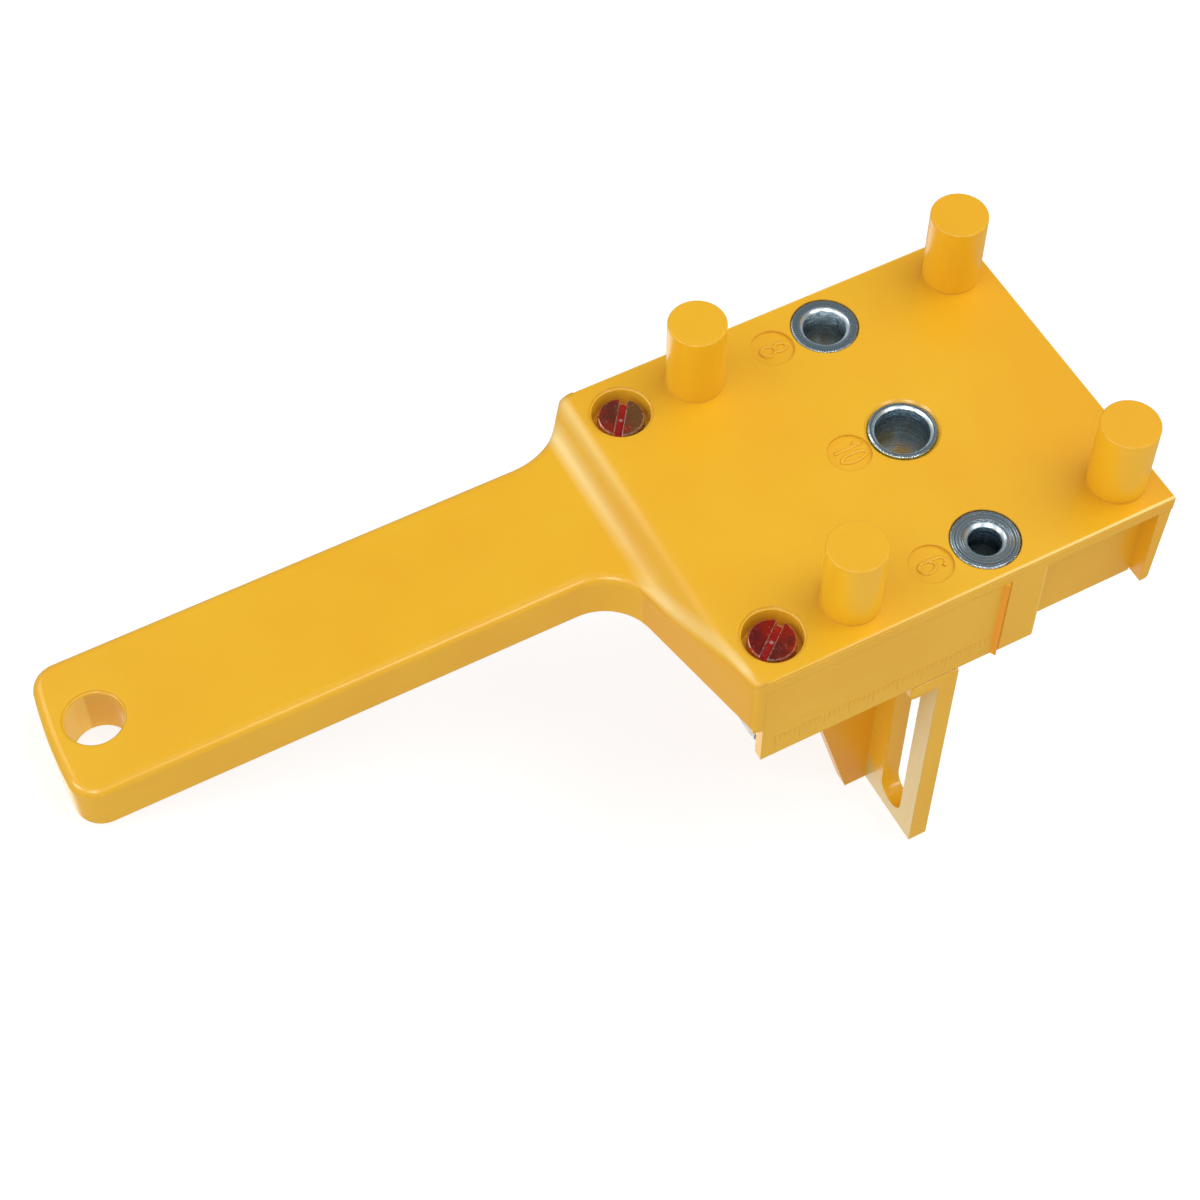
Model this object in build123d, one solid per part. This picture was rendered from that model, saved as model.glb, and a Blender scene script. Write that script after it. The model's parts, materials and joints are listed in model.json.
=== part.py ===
from build123d import *
import os
from math import acos, atan2, degrees, hypot

os.makedirs("parts", exist_ok=True)

# Handheld doweling jig, in millimetres.
# The jig is drawn with its head level. X runs from the handle to the head's far end, Y across the
# head, and Z up out of the guide bushings. The origin is the middle of the widest bushing's mouth.
# Last, every piece is turned about Y to the lean that the jig takes when it lies on a table,
# where it rests on the foot of its fence and the end of its handle.

# Head, a shell that is open below
head_half_width = 35.2
head_far_x = 34.4
head_front_x = -50.0
head_back_x = -50.8
lip_depth = 3.4
lip_overhang = 0.15
roof = 3.0
skirt_start_x = -48.0
skirt_wall = 2.0
skirt_depth = 25.0
pillar_start_x = 1.0
pillar_end_x = 8.3
recess_inset = 3.6
flange_thickness = 2.7
flange_draft = 1.0
flange_depth = 24.3
flange_rounding = 0.8
mark_width = 2.0
mark_height = 1.0
head_corner_radius = 2.0
edge_softening = 0.4

# Handle and neck, one moulding with the head
handle_drop = 4.0
handle_thickness = 11.0
handle_width = 28.0
handle_inset = 7.2
handle_end_x = -158.0
handle_tip_inset = 8.0
handle_end_radius = 95.0
handle_corner_radius = 5.0
handle_wall = 2.8
handle_roof = 2.6
hang_hole_x = -149.4
hang_hole_diameter = 10.2
hang_boss_wall = 2.4
hang_rim_softening = 0.4
neck_front_x = -57.3
neck_front_radius = 10.0
neck_back_x = -57.6
neck_back_radius = 15.0
neck_web = 2.5
ramp_crest_x = -50.4
ramp_foot_x = -53.8
ramp_blend = 2.2
top_rounding = 1.8
under_rounding = 1.4

# Stiffening ribs under the roof and in the handle
rib_thickness = 1.8
rib_clearance = 0.4
handle_rib_pitch = 17.0
handle_rib_count = 5
handle_rib_recess = 0.8

# Guide bushings of hardened steel, pressed in flush with the top
bushing_outer = 12.6
bushing_length = 20.0
bore_small = 6.0
bore_middle = 8.0
bore_large = 10.0
mouth_chamfer_small = 0.7
mouth_chamfer_middle = 0.6
mouth_chamfer_large = 0.5
bushing_edge_chamfer = 0.3
bushing_boss_wall = 2.0
large_recess_chamfer = 0.7

# Pins that straddle the edge of a board
pin_pitch = 54.4
pin_inset = 8.0
pin_diameter = 10.7
pin_height = 16.0
pin_edge_rounding = 0.35
pin_core_diameter = 4.6
pin_core_height = 7.0

# Round recesses that hold the sizes of the bushings
disc_x = -11.0
disc_diameter = 8.1
disc_depth = 0.5

# Clamping screws and their square nuts
screw_x = -42.4
screw_inset = 8.1
screw_shank_diameter = 5.0
screw_shank_length = 25.0
screw_tip_chamfer = 0.6
screw_head_diameter = 8.6
screw_head_height = 3.3
screw_head_rounding = 0.4
screw_slot_width = 1.4
screw_slot_depth = 1.7
screw_slot_angle_front = 38.4
screw_slot_angle_back = 54.0
screw_sunk = 1.4
screw_hole_diameter = 5.5
counterbore_diameter = 10.8
counterbore_softening = 0.4
screw_boss_wall = 2.0
screw_boss_depth = 20.6
nut_width = 8.0
nut_height = 2.5
nut_chamfer = 0.4

# Fence that slides below the head and sets the distance from a board's face
fence_face_x = -6.9
fence_thickness = 3.9
fence_inset = 0.2
fence_bottom = 85.5
fence_travel = 25.0
shelf_thickness = 4.0
shelf_clearance = 0.25
shelf_end_x = -34.5
arm_end_x = -44.2
arm_width = 11.4
arm_corner_radius = 1.5
tab_reach = 5.7
tab_height = 3.5
tab_clearance = 0.8
tab_rounding = 0.5
tab_crest_rounding = 0.7
dowel_slot_clearance = 0.8
dowel_slot_top = 28.8
dowel_slot_bottom = 82.0
gusset_y = 17.3
gusset_thickness = 3.0
gusset_foot = 5.0
gusset_rise = 0.7
gusset_reach = 21.5
channel_wall = 1.5
channel_depth = 3.0

# Fits between pieces that turn or slide on one another
flat_running_gap = 0.02
thread_running_gap = 0.05
nut_side_gap = 0.2

pin_y = head_half_width - pin_inset
head_rib_pitch = pin_y / 2
skirt_y = head_half_width - lip_overhang
skirt_inner_y = skirt_y - skirt_wall
recess_half_width = head_half_width - recess_inset
recess_inner_y = recess_half_width - skirt_wall
flange_x = head_far_x - flange_thickness
handle_top = -handle_drop
handle_bottom = handle_top - handle_thickness
handle_back_y = head_half_width - handle_inset
handle_front_y = handle_back_y - handle_width
handle_middle_y = handle_back_y - handle_width / 2
handle_tip_y = handle_front_y + handle_tip_inset
fence_half_width = head_half_width - fence_inset
screw_y = head_half_width - screw_inset
boss_bottom = -(bushing_length + 0.5 * rib_clearance)
counterbore_floor = -(screw_sunk + screw_head_height + flat_running_gap)
shelf_top = -(screw_boss_depth + flat_running_gap)
shelf_bottom = shelf_top - shelf_thickness
fence_back_x = fence_face_x - fence_thickness
rib_bottom = shelf_top + rib_clearance
tab_top = -(skirt_depth + tab_clearance)
tab_bottom = tab_top - tab_height
nut_top = shelf_bottom - flat_running_gap
screw_ys = {"front": -screw_y, "back": screw_y}
bushings = {
    "bushing_6": (-pin_y, bore_small, mouth_chamfer_small),
    "bushing_8": (pin_y, bore_middle, mouth_chamfer_middle),
    "bushing_10": (0.0, bore_large, mouth_chamfer_large),
}


def plan(*points):
    """A closed outline seen from above."""
    return make_face(Polyline(*points, close=True))


def strip(x0, x1, y0, y1):
    """A rectangle seen from above, between two corners."""
    return Pos((x0 + x1) / 2, (y0 + y1) / 2) * Rectangle(x1 - x0, y1 - y0)


def raise_plan(outline, low, high):
    """The solid under an outline seen from above, from one height to another."""
    return extrude(Pos(0, 0, low) * outline, amount=high - low)


def side_profile(outline, y0, y1):
    """The solid swept across the jig by an outline in X and Z."""
    return extrude(Plane.XZ.offset(-y1) * outline, amount=y1 - y0)


def upright(x, y, low, high, diameter):
    """A round bar or hole along Z."""
    return raise_plan(Pos(x, y) * Circle(diameter / 2), low, high)


def flared_hole(x, y, low, high, diameter, flare, flare_below=0):
    """A round hole along Z whose rims curve outward by a small radius."""
    r = diameter / 2
    line = Polyline((r, low + flare_below), (r, high - flare))
    above = RadiusArc((r, high - flare), (r + flare, high), -flare)
    edges = [line, above, Polyline((r + flare, high), (0, high), (0, low))]
    if flare_below:
        edges.append(Line((0, low), (r + flare_below, low)))
        edges.append(RadiusArc((r + flare_below, low), (r, low + flare_below), -flare_below))
    else:
        edges.append(Line((0, low), (r, low)))
    section = make_face(Curve() + edges)
    return Pos(x, y) * revolve(Plane.XZ * section, Axis.Z)


def near(vertices, x, y):
    """The corner of an outline that lies closest to a point."""
    return min(vertices, key=lambda corner: hypot(corner.X - x, corner.Y - y))


def handle_plan(corner_radius=0):
    """The handle with its neck, up to where the head's skirts begin."""
    outline = plan(
        (handle_end_x - handle_thickness, handle_front_y),
        (neck_front_x, handle_front_y),
        (head_front_x, -head_half_width),
        (skirt_start_x, -head_half_width),
        (skirt_start_x, head_half_width),
        (head_back_x, head_half_width),
        (neck_back_x, handle_back_y),
        (handle_end_x - handle_thickness, handle_back_y),
    )
    outline = fillet(near(outline.vertices(), neck_front_x, handle_front_y), neck_front_radius)
    outline = fillet(near(outline.vertices(), neck_back_x, handle_back_y), neck_back_radius)
    if corner_radius:
        corners = ((head_front_x, -head_half_width), (head_back_x, head_half_width))
        outline = fillet([near(outline.vertices(), x, y) for x, y in corners], corner_radius)
    end_disc = Pos(handle_end_x + handle_end_radius, handle_tip_y) * Circle(handle_end_radius)
    head_side = strip(handle_end_x + handle_end_radius, 0, -2 * head_half_width, 2 * head_half_width)
    outline = outline & (end_disc + head_side)
    end_corners = outline.vertices().sort_by(Axis.X)[:2]
    return fillet(end_corners, handle_corner_radius)


def is_upright(edge):
    """True for an edge that runs straight along Z."""
    return edge.bounding_box().size.Z > 0.999 * edge.length


def on_head(point):
    """True for a point on the head's front or back, or on the plane where its skirts begin."""
    beside = abs(point.Y) > head_half_width - edge_softening
    return beside or point.X > skirt_start_x - edge_softening


def handle_and_neck():
    """The handle's solid, which rises up a ramp to the head's top and is rounded above and below."""
    outline = handle_plan()
    profile = plan(
        (handle_end_x - handle_thickness, handle_bottom),
        (skirt_start_x, handle_bottom),
        (skirt_start_x, 0),
        (ramp_crest_x, 0),
        (ramp_foot_x, handle_top),
        (handle_end_x - handle_thickness, handle_top),
    )
    crest = near(profile.vertices(), ramp_crest_x, 0)
    foot = near(profile.vertices(), ramp_foot_x, handle_top)
    profile = fillet([crest, foot], ramp_blend)
    solid = raise_plan(outline, handle_bottom, 0)
    solid = solid & side_profile(profile, -head_half_width, head_half_width)
    wall_line = outline.face().outer_wire()
    upper = []
    for edge in solid.edges():
        middle = edge @ 0.5
        on_wall = wall_line.distance_to(Vertex(middle.X, middle.Y, 0)) < 0.01
        is_high = middle.Z > handle_bottom + under_rounding
        if on_wall and is_high and not on_head(middle) and not is_upright(edge):
            upper.append(edge)
    solid = fillet(upper, top_rounding)
    lower = [edge for edge in solid.edges().group_by(Axis.Z)[0] if not on_head(edge @ 0.5)]
    solid = fillet(lower, under_rounding)
    sharp = raise_plan(outline, handle_bottom, 0)
    rounded = raise_plan(handle_plan(head_corner_radius), handle_bottom, 0)
    return solid - (sharp - rounded)


def handle_hollow():
    """The space inside the handle's walls, open below and crossed by ribs."""
    space = offset(handle_plan(), -handle_wall)
    space = space & strip(handle_end_x, head_back_x - neck_web, handle_front_y, handle_back_y)
    space = space - Pos(hang_hole_x, handle_middle_y) * Circle(hang_hole_diameter / 2 + hang_boss_wall)
    solid = raise_plan(space, handle_bottom, handle_top - handle_roof)
    half = rib_thickness / 2
    ribs = strip(handle_end_x, skirt_start_x, handle_middle_y - half, handle_middle_y + half)
    for step in range(handle_rib_count):
        rib_x = neck_front_x - (step + 0.5) * handle_rib_pitch
        ribs = ribs + strip(rib_x - half, rib_x + half, handle_front_y, handle_back_y)
    return solid - raise_plan(ribs, handle_bottom + handle_rib_recess, handle_top)


def head_shell():
    """The head's roof, lip, skirts, pillars and far flange around an open space."""
    roof_plan = strip(skirt_start_x, head_far_x, -head_half_width, head_half_width)
    solid = raise_plan(roof_plan, -lip_depth, 0)
    solid = fillet(solid.edges().group_by(Axis.Z)[-1].sort_by(Axis.X)[1:], edge_softening)
    skirts = strip(skirt_start_x, pillar_end_x, -skirt_y, skirt_y)
    skirts = skirts + strip(pillar_start_x, pillar_end_x, -head_half_width, head_half_width)
    skirts = skirts + strip(skirt_start_x, flange_x, -recess_half_width, recess_half_width)
    for side in (-1, 1):
        skirts = skirts + plan(
            (-mark_width / 2, side * (skirt_y - mark_height)),
            (0, side * (skirt_y + mark_height)),
            (mark_width / 2, side * (skirt_y - mark_height)),
        )
    solid = solid + raise_plan(skirts, -skirt_depth, -lip_depth)
    flange = plan(
        (flange_x, -lip_depth),
        (head_far_x, -lip_depth),
        (head_far_x - flange_draft, -flange_depth),
        (flange_x, -flange_depth),
    )
    flange = fillet(near(flange.vertices(), head_far_x - flange_draft, -flange_depth), flange_rounding)
    solid = solid + side_profile(flange, -fence_half_width, fence_half_width)
    space = strip(skirt_start_x, flange_x, -recess_inner_y, recess_inner_y)
    space = space + strip(skirt_start_x, pillar_start_x, -skirt_inner_y, skirt_inner_y)
    return solid - raise_plan(space, -skirt_depth, -roof)


def head_inside():
    """The bosses and ribs below the head's roof, as one solid for each group."""
    inside = strip(skirt_start_x, flange_x, -skirt_y, skirt_y)
    bushing_bosses = Sketch()
    for y, _, _ in bushings.values():
        bushing_bosses = bushing_bosses + Pos(0, y) * Circle(bushing_outer / 2 + bushing_boss_wall)
    screw_bosses = Sketch()
    for y in screw_ys.values():
        screw_bosses = screw_bosses + Pos(screw_x, y) * Circle(counterbore_diameter / 2 + screw_boss_wall)
    half = rib_thickness / 2
    low_ribs = Sketch()
    high_ribs = strip(-half, half, -pin_y, pin_y)
    for step in (-1, 0, 1):
        y = step * head_rib_pitch
        high_ribs = high_ribs + strip(skirt_start_x, pillar_end_x, y - half, y + half)
        low_ribs = low_ribs + strip(pillar_end_x - half, flange_x, y - half, y + half)
    return [
        raise_plan(bushing_bosses & inside, boss_bottom, -roof),
        raise_plan(screw_bosses & inside, -screw_boss_depth, -roof),
        raise_plan(high_ribs, rib_bottom, -roof),
        raise_plan(low_ribs, -flange_depth, -roof),
    ]


def pin(x, y):
    """One pin, rooted in the roof and softened at its top edge."""
    solid = upright(x, y, -roof / 2, pin_height, pin_diameter)
    return fillet(solid.edges().sort_by(Axis.Z)[-1], pin_edge_rounding)


def mouth(x, y, diameter, chamfer_size):
    """The cut that widens a round hole's mouth in the head's top."""
    wide = diameter / 2 + chamfer_size
    return Pos(x, y, -chamfer_size / 2) * Cone(diameter / 2, wide, chamfer_size)


def make_body():
    """Head, handle and pins, moulded in one."""
    solid = handle_and_neck() + head_shell()
    for piece in head_inside():
        solid = solid + piece
    solid = solid - handle_hollow()
    for x in (-pin_pitch / 2, pin_pitch / 2):
        for y in (-pin_y, pin_y):
            solid = solid + pin(x, y)
            solid = solid - upright(x, y, -roof, pin_core_height, pin_core_diameter)
    for y, _, _ in bushings.values():
        solid = solid - upright(0, y, -skirt_depth, 0, bushing_outer)
        solid = solid - upright(disc_x, y, -disc_depth, 0, disc_diameter)
    solid = solid - mouth(0, 0, bushing_outer, large_recess_chamfer)
    for y in screw_ys.values():
        solid = solid - upright(screw_x, y, -screw_boss_depth, 0, screw_hole_diameter)
        solid = solid - flared_hole(
            screw_x, y, counterbore_floor, 0, counterbore_diameter, counterbore_softening
        )
    rim = hang_rim_softening
    return solid - flared_hole(
        hang_hole_x, handle_middle_y, handle_bottom, handle_top, hang_hole_diameter, rim, rim
    )


def make_bushing(y, bore, mouth_chamfer):
    """One guide bushing, turned, with a bevelled mouth."""
    outer = bushing_outer / 2
    inner = bore / 2
    edge = bushing_edge_chamfer
    section = Polyline(
        (inner, edge - bushing_length),
        (inner, -mouth_chamfer),
        (inner + mouth_chamfer, 0),
        (outer - edge, 0),
        (outer, -edge),
        (outer, edge - bushing_length),
        (outer - edge, -bushing_length),
        (inner + edge, -bushing_length),
        close=True,
    )
    return Pos(0, y) * revolve(Plane.XZ * make_face(section), Axis.Z)


def make_screw(y, slot_angle):
    """One slotted cheese-head screw, hanging in its counterbore."""
    head_radius = screw_head_diameter / 2
    shank_radius = screw_shank_diameter / 2
    head_top = -screw_sunk
    head_bottom = head_top - screw_head_height
    tip = head_bottom - screw_shank_length
    section = plan(
        (0, head_top),
        (head_radius, head_top),
        (head_radius, head_bottom),
        (shank_radius, head_bottom),
        (shank_radius, tip + screw_tip_chamfer),
        (shank_radius - screw_tip_chamfer, tip),
        (0, tip),
    )
    section = fillet(near(section.vertices(), head_radius, head_top), screw_head_rounding)
    solid = revolve(Plane.XZ * section, Axis.Z)
    slot = Rot(0, 0, slot_angle) * Rectangle(2 * screw_head_diameter, screw_slot_width)
    solid = solid - raise_plan(slot, head_top - screw_slot_depth, head_top + screw_head_height)
    return Pos(screw_x, y) * solid


def make_nut(y):
    """One square nut, held from turning by the walls of the fence's channel."""
    bore = screw_shank_diameter + 2 * thread_running_gap
    solid = raise_plan(Rectangle(nut_width, nut_width), nut_top - nut_height, nut_top)
    solid = chamfer(solid.edges().group_by(Axis.Z)[0], nut_chamfer)
    solid = solid - upright(0, 0, nut_top - nut_height, nut_top, bore)
    return Pos(screw_x, y) * solid


def fence_plate():
    """The upright plate, with a slot in line with each bushing that takes a dowel."""
    head_side = fence_half_width
    neck_side = skirt_inner_y - shelf_clearance
    outline = plan(
        (-head_side, -fence_bottom),
        (head_side, -fence_bottom),
        (head_side, tab_top),
        (neck_side, tab_top),
        (neck_side, shelf_top),
        (-neck_side, shelf_top),
        (-neck_side, tab_top),
        (-head_side, tab_top),
    )
    slot_length = dowel_slot_bottom - dowel_slot_top
    slot_middle = -(dowel_slot_bottom + dowel_slot_top) / 2
    for y, bore, _ in bushings.values():
        slot = SlotOverall(slot_length, bore + dowel_slot_clearance, rotation=90)
        outline = outline - Pos(y, slot_middle) * slot
    return extrude(Plane.YZ.offset(fence_back_x) * outline, amount=fence_thickness)


def fence_shelf():
    """The shelf with its two arms, which slide between the skirts and carry the clamping slots."""
    edge_y = skirt_inner_y - shelf_clearance
    outline = strip(shelf_end_x, fence_back_x, -edge_y, edge_y)
    walls = Sketch()
    slots = Sketch()
    channels = Sketch()
    slot_end_x = screw_x + fence_travel
    half_channel = nut_width / 2 + nut_side_gap
    for y in screw_ys.values():
        side = 1 if y > 0 else -1
        arm = strip(arm_end_x, fence_back_x, *sorted((side * (edge_y - arm_width), side * edge_y)))
        arm_tips = arm.vertices().sort_by(Axis.X)[:2]
        outline = outline + fillet(arm_tips, arm_corner_radius)
        half_walls = half_channel + channel_wall
        walls = walls + strip(arm_end_x, fence_back_x, y - half_walls, y + half_walls)
        channel_end_x = slot_end_x + half_channel
        channels = channels + strip(2 * arm_end_x, channel_end_x, y - half_channel, y + half_channel)
        half_slot = screw_hole_diameter / 2
        slots = slots + strip(2 * arm_end_x, slot_end_x, y - half_slot, y + half_slot)
        slots = slots + Pos(slot_end_x, y) * Circle(half_slot)
    walls = walls & outline
    tab = plan(
        (fence_back_x, tab_top),
        (fence_back_x - tab_reach, tab_top),
        (fence_back_x - tab_reach, tab_bottom),
        (fence_back_x, tab_bottom),
    )
    upper_corner = near(tab.vertices(), fence_back_x - tab_reach, tab_top)
    tab = fillet(upper_corner, tab_rounding)
    solid = side_profile(tab, -fence_half_width, fence_half_width)
    root = strip(fence_back_x - tab_reach, fence_back_x, -edge_y, edge_y)
    solid = solid + raise_plan(root, tab_bottom, shelf_top)
    solid = solid + raise_plan(outline, shelf_bottom, shelf_top)
    solid = solid + raise_plan(walls, shelf_bottom - channel_depth, shelf_bottom)
    solid = solid - raise_plan(channels, -fence_bottom, shelf_bottom)
    return solid - raise_plan(slots, -fence_bottom, shelf_top)


def fence_gusset(y):
    """One gusset that stiffens the plate from its foot up to the shelf."""
    outline = plan(
        (fence_back_x, gusset_rise - fence_bottom),
        (fence_back_x - gusset_foot, gusset_rise - fence_bottom),
        (fence_back_x - gusset_reach, shelf_bottom),
        (fence_back_x, shelf_bottom),
    )
    return side_profile(outline, y - gusset_thickness / 2, y + gusset_thickness / 2)


def on_tab_crest(point):
    """True for a point on the outer top edge of either tab."""
    outer = abs(abs(point.Y) - fence_half_width) < edge_softening / 2
    return outer and abs(point.Z - tab_top) < edge_softening / 2


def make_fence():
    """Plate, shelf, tabs and gussets, moulded in one."""
    solid = fence_plate() + fence_shelf()
    crests = [edge for edge in solid.edges() if on_tab_crest(edge.center())]
    solid = fillet(crests, tab_crest_rounding)
    return solid + fence_gusset(-gusset_y) + fence_gusset(gusset_y)


def resting_lean():
    """Degrees about Y that bring the fence's foot and the handle's end down to one level."""
    end_x = handle_end_x + under_rounding
    end_z = handle_bottom + under_rounding
    foot_x = fence_back_x - gusset_foot
    across = foot_x - end_x
    above = end_z + fence_bottom - gusset_rise
    return degrees(acos(under_rounding / hypot(across, above)) - atan2(across, above))


pieces = {"jig_body": make_body(), "fence": make_fence()}
for name, (bushing_y, bore_diameter, bore_chamfer) in bushings.items():
    pieces[name] = make_bushing(bushing_y, bore_diameter, bore_chamfer)
slot_angles = {"front": screw_slot_angle_front, "back": screw_slot_angle_back}
for place, screw_y in screw_ys.items():
    pieces["clamp_screw_" + place] = make_screw(screw_y, slot_angles[place])
    pieces["clamp_nut_" + place] = make_nut(screw_y)

lean = resting_lean()
print("leans by", round(lean, 3), "degrees")
for name, piece in pieces.items():
    export_step(Rot(0, -lean, 0) * piece, "parts/" + name + ".step")
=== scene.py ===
import bpy
import bmesh
import json
from math import cos, pi, radians, sin, tan, tau
from mathutils import Matrix, Quaternion, Vector


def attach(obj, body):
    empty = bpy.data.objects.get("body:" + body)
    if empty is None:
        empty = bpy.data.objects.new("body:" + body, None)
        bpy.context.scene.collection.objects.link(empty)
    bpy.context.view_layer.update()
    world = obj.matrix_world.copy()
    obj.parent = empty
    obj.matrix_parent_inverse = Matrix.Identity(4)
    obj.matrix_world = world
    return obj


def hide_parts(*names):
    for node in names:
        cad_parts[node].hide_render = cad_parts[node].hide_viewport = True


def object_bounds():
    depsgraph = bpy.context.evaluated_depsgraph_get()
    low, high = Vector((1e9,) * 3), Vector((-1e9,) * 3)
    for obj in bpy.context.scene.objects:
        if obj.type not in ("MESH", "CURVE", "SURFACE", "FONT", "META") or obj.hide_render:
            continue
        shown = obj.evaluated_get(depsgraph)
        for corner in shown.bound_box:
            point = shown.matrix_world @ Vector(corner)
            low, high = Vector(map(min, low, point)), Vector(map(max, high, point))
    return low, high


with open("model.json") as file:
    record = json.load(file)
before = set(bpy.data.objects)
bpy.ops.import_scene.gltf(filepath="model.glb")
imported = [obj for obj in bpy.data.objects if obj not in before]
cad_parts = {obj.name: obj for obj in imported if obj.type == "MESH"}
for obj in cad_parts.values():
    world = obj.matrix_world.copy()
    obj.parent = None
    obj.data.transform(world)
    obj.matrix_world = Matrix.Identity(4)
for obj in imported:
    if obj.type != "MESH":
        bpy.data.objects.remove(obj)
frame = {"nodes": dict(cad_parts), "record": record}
cadLow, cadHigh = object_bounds()
mounts = {m["name"]: m for m in frame["record"]["mounts"]}
print("frame loaded with", len(frame["nodes"]), "solids")

# The jig leans as it rests. These are its own level axes:
# forward to the head's far end, across it, and up out of the bores
upAxis = Vector(mounts["guide_bore_10"]["axis"]).normalized()
forwardAxis = Vector(mounts["fence_face"]["axis"]).normalized()
acrossAxis = upAxis.cross(forwardAxis)
jigAxes = (forwardAxis, acrossAxis, upAxis)
jigTurn = Matrix(jigAxes).transposed()
mm = 0.001

# Places on the jig in its own millimetres
bushingAcross = {"bushing_6": -27.2, "bushing_10": 0.0, "bushing_8": 27.2}
screwAcross = {"front": -27.1, "back": 27.1}
screwForward = -42.4
hangingHole = (-149.4, 14.0)


def jigPoint(x, y, z):
    return jigTurn @ Vector((x * mm, y * mm, z * mm))


# Shader sums: an operator on a Wire adds its Math node
class Wire:
    def __init__(self, bench, socket):
        self.bench = bench
        self.socket = socket

    def math(self, operation, *values):
        return self.bench.node("ShaderNodeMath", {"operation": operation}, values)

    def __add__(self, other):
        return self.math("ADD", self, other)

    def __sub__(self, other):
        return self.math("SUBTRACT", self, other)

    def __rsub__(self, other):
        return self.math("SUBTRACT", other, self)

    def __mul__(self, other):
        return self.math("MULTIPLY", self, other)

    def __pow__(self, other):
        return self.math("POWER", self, other)

    def __abs__(self):
        return self.math("ABSOLUTE", self, 0)

    __radd__ = __add__
    __rmul__ = __mul__


class Bench:
    def __init__(self, tree):
        self.tree = tree

    def feed(self, socket, value):
        if isinstance(value, Wire):
            self.tree.links.new(value.socket, socket)
        elif socket.type == "RGBA":
            socket.default_value = (*value, 1)
        else:
            socket.default_value = value

    # Any node: its settings first, then what goes into its sockets, by place or by name
    def node(self, kind, settings, values=(), take=0):
        made = self.tree.nodes.new(kind)
        for name, setting in settings.items():
            setattr(made, name, setting)
        for place, value in values.items() if isinstance(values, dict) else enumerate(values):
            self.feed(made.inputs[place], value)
        return Wire(self, made.outputs[take])

    def noise(self, place, size, detail=2, roughness=0.5):
        return self.node("ShaderNodeTexNoise", {}, {
            "Vector": place, "Scale": 1 / size, "Detail": detail, "Roughness": roughness})

    def blend(self, share, first, second):
        return self.node("ShaderNodeMix", {"data_type": "RGBA"}, {0: share, 6: first, 7: second}, take=2)

    # 0 before start, 1 past end, and a slope between them
    def fade(self, value, start, end):
        return self.node("ShaderNodeMapRange", {}, [value, start, end])

    # The same of the distance from a middle
    def fadeFrom(self, value, middle, start, end):
        return self.fade(abs(value - middle), start, end)

    def dot(self, place, axis):
        return self.node("ShaderNodeVectorMath", {"operation": "DOT_PRODUCT"}, [place, axis], take="Value")

    def join(self, x, y, z):
        return self.node("ShaderNodeCombineXYZ", {}, [x, y, z])

    # Small relief over edges that are softened by a radius
    def bump(self, height, depth, strength, soft=0.0002):
        edge = self.node("ShaderNodeBevel", {"samples": 6}, {"Radius": soft})
        return self.node("ShaderNodeBump", {}, {
            "Strength": strength, "Distance": depth, "Height": height, "Normal": edge})


# A material that is being made, with the jig's own coordinates in millimetres
class Finish(Bench):
    noiseShift = (1.3, 0.8, 2.45)  # keeps flat faces off the noise's own planes

    def __init__(self, name, **plain):
        self.material = bpy.data.materials.new(name)
        self.material.use_nodes = True
        super().__init__(self.material.node_tree)
        self.shader = self.tree.nodes["Principled BSDF"]
        self.give(**plain)
        here = self.node("ShaderNodeTexCoord", {}, take="Object")
        self.forward, self.across, self.up = (self.dot(here, axis / mm) for axis in jigAxes)
        x, y, z = self.noiseShift
        self.place = self.join(self.forward + x, self.across + y, self.up + z)

    def give(self, **values):
        for name, value in values.items():
            self.feed(self.shader.inputs[name.replace("_", " ")], value)
        return self.material

    # Distance from an upright axis through (x, y)
    def radius(self, x, y):
        a = self.forward - x
        b = self.across - y
        return (a * a + b * b) ** 0.5

    # Fine lines: noise that is squeezed along the jig, across it and up
    def streaks(self, squeeze, fading, detail):
        x, y, z = squeeze
        place = self.join(self.forward * x, self.across * y, self.up * z)
        return self.fade(self.noise(place, 1.0, detail), *fading)


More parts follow.
